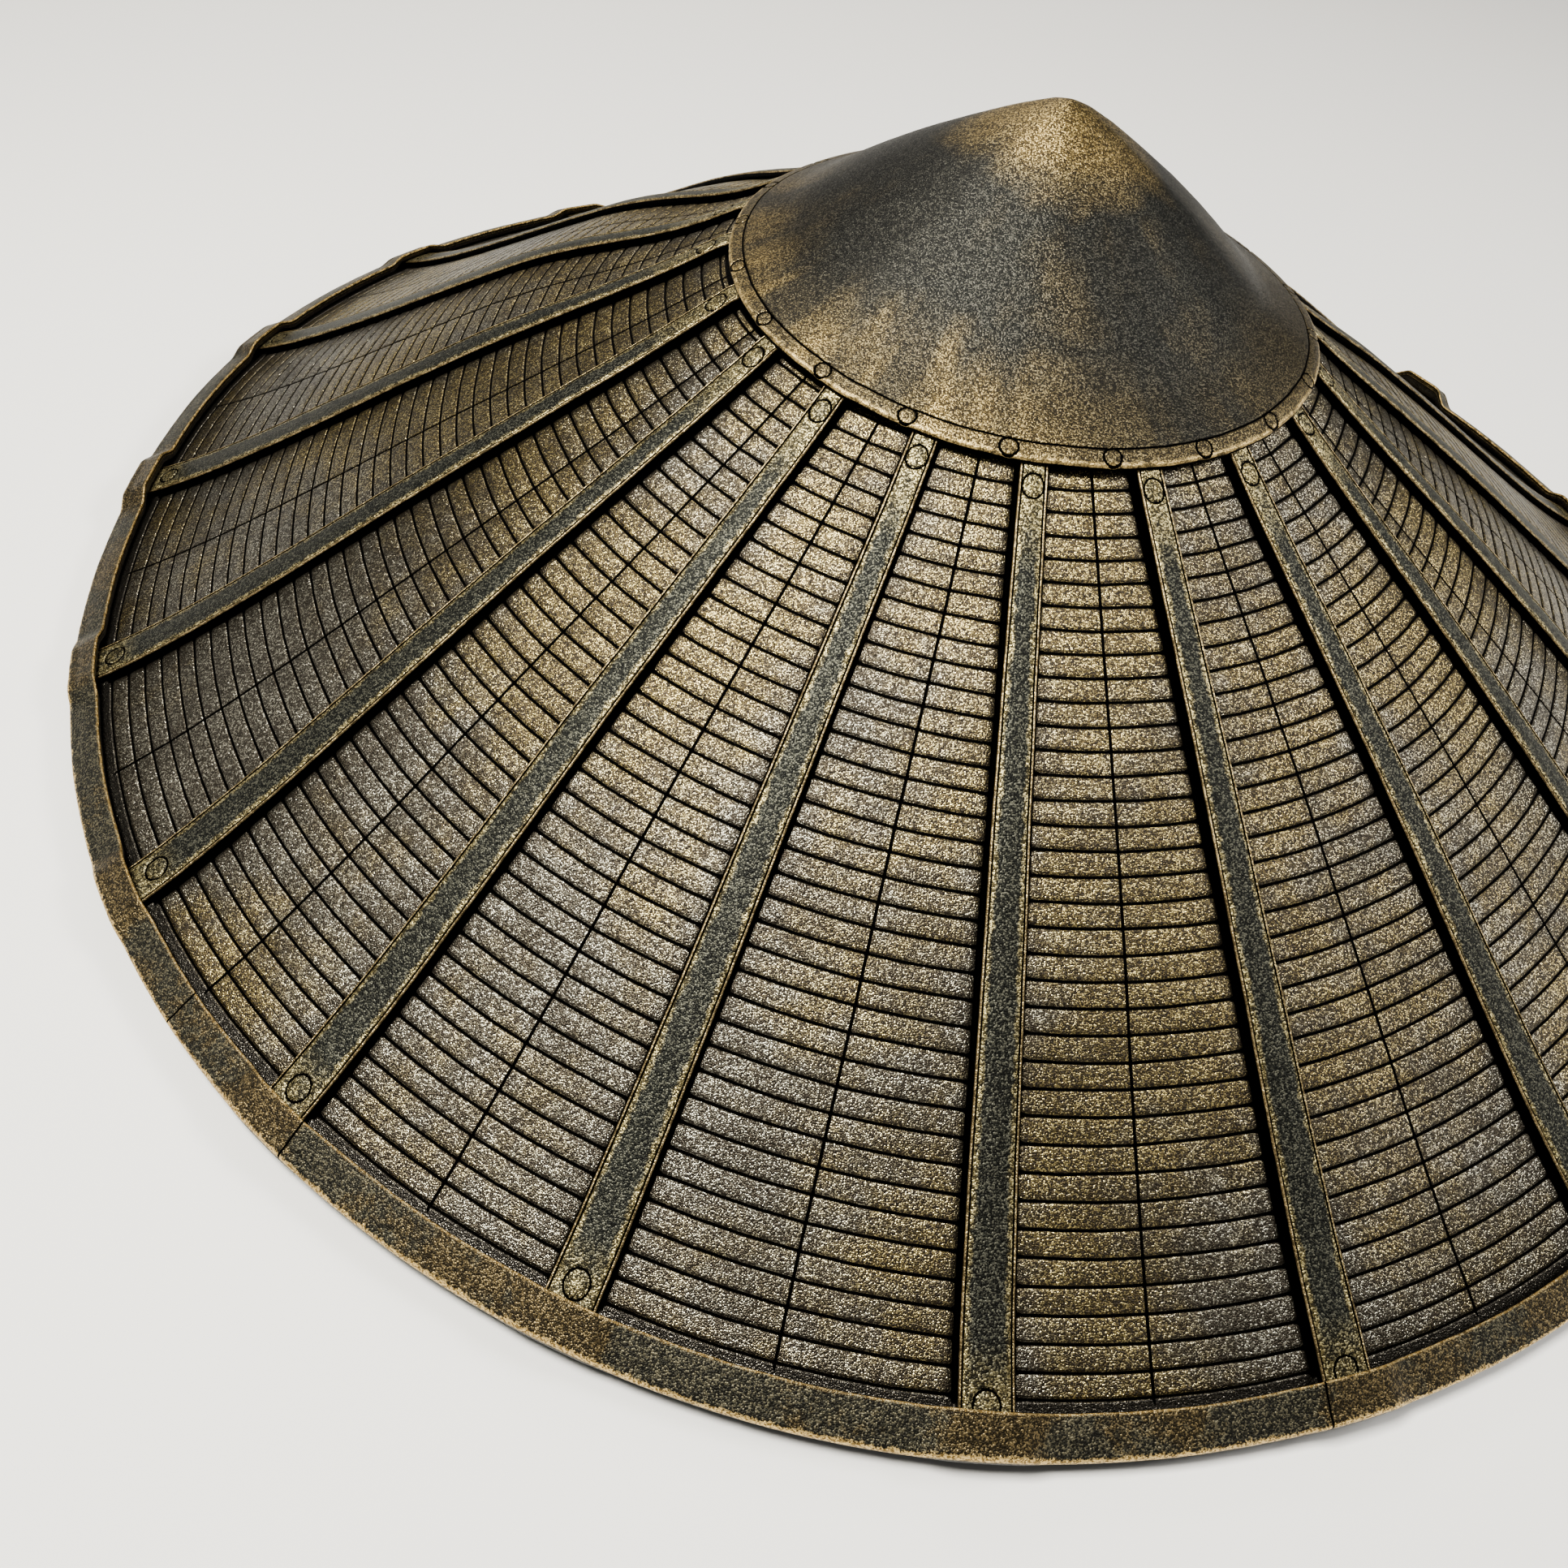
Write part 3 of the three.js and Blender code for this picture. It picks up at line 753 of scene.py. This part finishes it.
def rib_material():
    s = Shade("rib_sheet")
    edge, wall, along = s.field("edge")
    dx, dy, which = s.field("disc")
    grain, height = pebble(s, 0.45)
    raised = s.step(grain, 0.40, 0.58)
    crest = s.step(grain, 0.52, 0.70)
    broad = s.noise(s.mm, 0.10, 3.0, 0.62)
    speck = s.noise(s.mm, 0.45, 2.0, 0.6)
    loose = s.math("ADD", edge, s.math("MULTIPLY", s.math("SUBTRACT", speck, 0.5), 2.2))
    loose = s.math("ADD", loose, s.math("MULTIPLY", s.math("SUBTRACT", broad, 0.5), 1.8))
    width = s.step(along, 90.0, 200.0, 1.3, 1.4)
    margin = s.step(s.math("SUBTRACT", loose, width), -0.6, 0.6, 1.0, 0.0)
    ends = s.math("MAXIMUM", s.step(along, 80.0, 96.0, 0.9, 0.0), s.step(along, 221.0, 230.0, 0.0, 0.6))
    margin = s.math("MAXIMUM", margin, s.math("MULTIPLY", ends, s.step(speck, 0.36, 0.56, 0.35, 1.0)))
    centre = s.mix(raised, (0.0085, 0.0088, 0.0074), (0.024, 0.0248, 0.0200))
    centre = s.mix(s.math("MULTIPLY", crest, 0.6), centre, (0.135, 0.132, 0.102))
    gold = s.mix(raised, (0.040, 0.033, 0.017), (0.22, 0.18, 0.085))
    gold = s.mix(crest, gold, (0.62, 0.53, 0.28))
    colour = s.mix(margin, centre, gold)
    bead = s.step(edge, 0.36, 0.46, 1.0, 0.0)
    rubbed = s.math("MULTIPLY", s.step(speck, 0.36, 0.56, 0.3, 1.0), s.step(broad, 0.3, 0.6, 0.55, 1.0))
    pale = s.mix(raised, (0.17, 0.125, 0.062), (0.52, 0.41, 0.23))
    pale = s.mix(rubbed, (0.05, 0.037, 0.018), pale)
    colour = s.mix(bead, colour, pale)
    ring = s.math("ABSOLUTE", s.math("SUBTRACT", s.vmath("LENGTH", s.join(dx, dy)), CIRCLE_RADIUS))
    ring = s.math("ADD", ring, s.math("MULTIPLY", s.math("SUBTRACT", grain, 0.5), 0.2))
    groove = s.math("ABSOLUTE", s.math("SUBTRACT", edge, 0.61))
    dark = s.math("MAXIMUM", s.step(ring, 0.16, 0.30, 1.0, 0.0), s.step(groove, 0.11, 0.21, 1.0, 0.0))
    dark = s.math("MAXIMUM", dark, s.step(wall, 0.38, 0.5))
    colour = s.mix(dark, colour, BLACK)
    shine = s.math("MULTIPLY", s.math("MAXIMUM", margin, bead), raised)
    rough = s.blend(dark, s.blend(shine, 0.46, 0.36), 0.6)
    metal = s.math("MAXIMUM", dark, s.blend(shine, 0.7, 0.92))
    return s.finish(colour, rough, metal, s.bump(height, 0.00009))


def cap_material():
    s = Shade("crown_sheet_look")
    edge, wall, radius = s.field("edge")
    dx, dy, _ = s.field("disc")
    grain, height = pebble(s, 0.40)
    raised = s.step(grain, 0.36, 0.56)
    crest = s.step(grain, 0.53, 0.70)
    parts = s.node("ShaderNodeSeparateXYZ")
    s.link(s.mm, parts.inputs[0])
    turn = s.math("ARCTAN2", parts.outputs[1], parts.outputs[0])
    # Radial streaks: painted sheen running down the cap, mixed into the gold dusting and into the gold near the rim.
    radial_sheen = s.noise(s.join(s.math("MULTIPLY", s.math("COSINE", turn), 3.2), s.math("MULTIPLY", s.math("SINE", turn), 3.2), s.math("MULTIPLY", radius, 0.012)), 1.0, 3.0, 0.6)
    patch = s.noise(s.mm, 0.030, 3.0, 0.6)
    dust_and_sheen = s.step(s.math("ADD", s.math("MULTIPLY", radial_sheen, 0.4), s.math("MULTIPLY", patch, 0.6)), 0.49, 0.68, 0.0, 0.16)
    apex = s.step(s.math("ADD", radius, s.math("MULTIPLY", s.math("SUBTRACT", patch, 0.5), 40.0)), 6.0, 26.0, 0.95, 0.0)
    edge_rub = s.math("MULTIPLY", s.step(edge, 0.2, 0.9, 1.0, 0.0), s.step(s.noise(s.mm, 0.5, 2.0, 0.6), 0.36, 0.56, 0.25, 1.0))
    flange = s.step(edge, 3.2, 3.5, 0.32, 0.0)
    near_rim = s.math("MULTIPLY", s.step(s.math("ADD", edge, s.math("MULTIPLY", s.math("SUBTRACT", patch, 0.5), 30.0)), 3.0, 26.0, 0.9, 0.0), s.step(radial_sheen, 0.38, 0.56, 0.15, 1.0))
    # gold near the rim is rubbed on, and made strongest on the front-left side: a painted highlight on the side the key
    # light falls on
    lit_side_highlight = s.step(s.math("COSINE", s.math("ADD", turn, 2.5)), 0.3, 0.95, 0.2, 1.0)
    near_rim = s.math("MULTIPLY", near_rim, lit_side_highlight)
    # Gold on the cap: real gilt rub, with the painted sheen and the painted highlight mixed in.
    gilt_and_painted_light = s.math("MAXIMUM", s.math("MAXIMUM", dust_and_sheen, apex), s.math("MAXIMUM", flange, near_rim))
    dark_tone = s.mix(raised, (0.0085, 0.0085, 0.0076), (0.0185, 0.0184, 0.0160))
    dark_tone = s.mix(crest, dark_tone, (0.064, 0.062, 0.052))
    gold_tone = s.mix(raised, (0.042, 0.030, 0.013), (0.160, 0.116, 0.047))
    gold_tone = s.mix(crest, gold_tone, (0.53, 0.405, 0.18))
    colour = s.mix(gilt_and_painted_light, dark_tone, gold_tone)
    colour = s.mix(edge_rub, colour, s.mix(raised, (0.22, 0.16, 0.07), (0.62, 0.47, 0.22)))
    ring = s.math("ABSOLUTE", s.math("SUBTRACT", s.vmath("LENGTH", s.join(dx, dy)), CAP_CIRCLE))
    ring = s.math("ADD", ring, s.math("MULTIPLY", s.math("SUBTRACT", grain, 0.5), 0.2))
    score = s.math("ABSOLUTE", s.math("SUBTRACT", edge, CAP_SCORE))
    dark = s.math("MAXIMUM", s.step(ring, 0.22, 0.36, 1.0, 0.0), s.step(score, 0.17, 0.27, 1.0, 0.0))
    dark = s.math("MAXIMUM", dark, s.step(wall, 0.4, 0.7))
    colour = s.mix(dark, colour, BLACK)
    shine = s.math("MULTIPLY", raised, s.blend(gilt_and_painted_light, 0.6, 1.0))
    rough = s.blend(dark, s.blend(shine, 0.42, 0.33), 0.6)
    metal = s.math("MAXIMUM", dark, s.blend(shine, 0.7, 0.92))
    return s.finish(colour, rough, metal, s.bump(height, 0.000095))


def band_material():
    s = Shade("band_sheet")
    across, seen, seam = s.field("edge")
    over, deg, past = s.field("disc")
    grain, height = pebble(s, 0.46)
    raised = s.step(grain, 0.40, 0.58)
    crest = s.step(grain, 0.52, 0.72)
    speck = s.noise(s.mm, 0.5, 2.0, 0.65)
    broad = s.noise(s.mm, 0.04, 3.0, 0.6)
    zone = s.math("ADD", s.math("MULTIPLY", over, 0.16), s.math("ADD", s.math("MULTIPLY", broad, 0.75), s.math("MULTIPLY", speck, 0.25)))
    brown = s.step(zone, 0.49, 0.60)
    base = s.mix(raised, (0.0138, 0.0131, 0.0104), (0.035, 0.0337, 0.0247))
    base = s.mix(s.math("MULTIPLY", crest, 0.6), base, (0.18, 0.16, 0.105))
    warm = s.mix(raised, (0.020, 0.0155, 0.0085), (0.062, 0.048, 0.026))
    warm = s.mix(s.math("MULTIPLY", crest, 0.8), warm, (0.23, 0.175, 0.090))
    colour = s.mix(brown, base, warm)
    gold = s.mix(raised, (0.22, 0.145, 0.05), (0.72, 0.53, 0.24))
    drift = s.math("ADD", s.math("MULTIPLY", s.math("SUBTRACT", speck, 0.5), 1.6), s.math("MULTIPLY", s.math("SUBTRACT", grain, 0.5), 0.9))
    inner = s.math("MULTIPLY", s.step(across, 0.35, 0.55), s.step(s.math("ADD", across, drift), 0.75, 1.5, 1.0, 0.0))
    outer = s.math("MULTIPLY", s.step(s.math("ADD", past, drift), -0.35, 0.15), s.step(past, 0.9, 1.8, 1.0, 0.0))
    # The band's outer wall and bottom, from just past the rubbed corner, are coloured near black: painted shade on the
    # faces that look out and down.
    under = s.step(past, 0.8, 2.4)
    rub = s.math("MAXIMUM", s.math("MULTIPLY", inner, s.step(speck, 0.40, 0.54, 0.25, 0.95)), s.math("MULTIPLY", outer, s.step(broad, 0.3, 0.5, 0.7, 1.0)))
    colour = s.mix(under, colour, (0.010, 0.0085, 0.006))
    colour = s.mix(rub, colour, gold)
    dark = s.math("MULTIPLY", s.step(across, 0.15, 0.45, 1.0, 0.0), seen)
    dark = s.math("MAXIMUM", dark, s.step(s.math("ADD", seam, s.math("MULTIPLY", s.math("SUBTRACT", grain, 0.5), 0.3)), 0.3, 0.6))
    colour = s.mix(seen, s.mix(raised, (0.034, 0.031, 0.027), (0.115, 0.104, 0.088)), colour)
    colour = s.mix(dark, colour, BLACK)
    shine = s.math("MULTIPLY", raised, s.math("MAXIMUM", rub, s.math("MULTIPLY", brown, 0.5)))
    rough = s.blend(s.math("MAXIMUM", dark, s.math("SUBTRACT", 1.0, seen)), s.blend(shine, 0.46, 0.36), 0.6)
    metal = s.math("MULTIPLY", s.math("MAXIMUM", dark, s.blend(shine, 0.7, 0.92)), seen)
    return s.finish(colour, rough, metal, s.bump(height, 0.00013))


# ---- the hat ---------------------------------------------------------------------------------------------
shell = build_shell()
shell.data.materials.append(panel_material())
rib_look = rib_material()
for index in range(RIB_COUNT):
    build_rib(index).data.materials.append(rib_look)
cap = build_cap()
cap.data.materials.append(cap_material())
band = build_band()
band.data.materials.append(band_material())

# ---- floor, light, camera ----------------------------------------------------------------------------------
floor_mesh = bpy.data.meshes.new("floor")
floor_mesh.from_pydata([(-4, -4, 0), (4, -4, 0), (4, 4, 0), (-4, 4, 0)], [], [(0, 1, 2, 3)])
floor = bpy.data.objects.new("floor", floor_mesh)
bpy.context.scene.collection.objects.link(floor)
floor_look = bpy.data.materials.new("floor_paper")
floor_look.use_nodes = True
floor_look.node_tree.nodes["Principled BSDF"].inputs["Base Color"].default_value = (0.72, 0.71, 0.69, 1)
floor_look.node_tree.nodes["Principled BSDF"].inputs["Roughness"].default_value = 0.9
floor_mesh.materials.append(floor_look)

world = bpy.data.worlds.new("studio")
world.use_nodes = True
world.node_tree.nodes["Background"].inputs[0].default_value = (1.0, 0.985, 0.96, 1)
world.node_tree.nodes["Background"].inputs[1].default_value = 0.15
bpy.context.scene.world = world


def soft_light(name, az, el, distance, size, watts, colour=(1, 1, 1), aim=(0, 0, 0.06)):
    data = bpy.data.lights.new(name, "AREA")
    data.shape = "RECTANGLE"
    data.size, data.size_y = size
    data.energy = watts
    data.color = colour
    a, e = math.radians(az), math.radians(el)
    toward = np.array([math.cos(e) * math.cos(a), math.cos(e) * math.sin(a), math.sin(e)])
    place = np.array(aim) + toward * distance
    side = np.cross([0, 0, 1], toward)
    side /= np.linalg.norm(side)
    up = np.cross(toward, side)
    obj = bpy.data.objects.new(name, data)
    m = np.eye(4)
    m[:3, 0], m[:3, 1], m[:3, 2], m[:3, 3] = side, up, toward, place
    obj.matrix_world = Matrix(m.tolist())
    bpy.context.scene.collection.objects.link(obj)
    return obj


soft_light("key", -162, 70, 0.85, (0.24, 0.24), 18.5, (1.0, 0.98, 0.91), (-0.06, -0.10, 0.07))
soft_light("right", -2, 41, 1.2, (0.4, 0.3), 10.5, (1.0, 0.985, 0.95))
soft_light("back", 104, 36, 1.2, (0.8, 0.4), 4.0, (1.0, 0.95, 0.88))

camera_data = bpy.data.cameras.new("camera")
camera_data.sensor_width = 36.0
camera_data.lens = 1624.70 / 1932 * 36.0
camera_data.shift_x = 0.5 - 963.43 / 1932
camera_data.shift_y = 873.43 / 1932 - 0.5
camera_data.clip_start = 0.02
camera = bpy.data.objects.new("camera", camera_data)
rows = np.array([[0.99120365, 0.07746804, 0.10730345], [0.12991133, -0.7243133, -0.67712132], [0.02526606, 0.68510506, -0.72800597]])
where = np.array([-0.21658, -1.27523, 1.09154]) * 0.24
turn = math.radians(1.77)
spin = np.array([[math.cos(turn), -math.sin(turn), 0], [math.sin(turn), math.cos(turn), 0], [0, 0, 1]])
rows = rows @ spin
where = spin.T @ where + np.array([0, 0, 0.0036])
m = np.eye(4)
m[:3, 0], m[:3, 1], m[:3, 2], m[:3, 3] = rows[0], -rows[1], -rows[2], where
camera.matrix_world = Matrix(m.tolist())
bpy.context.scene.collection.objects.link(camera)
bpy.context.scene.camera = camera
bpy.context.scene.view_settings.view_transform = "AgX"
bpy.context.scene.view_settings.look = "AgX - Medium High Contrast"
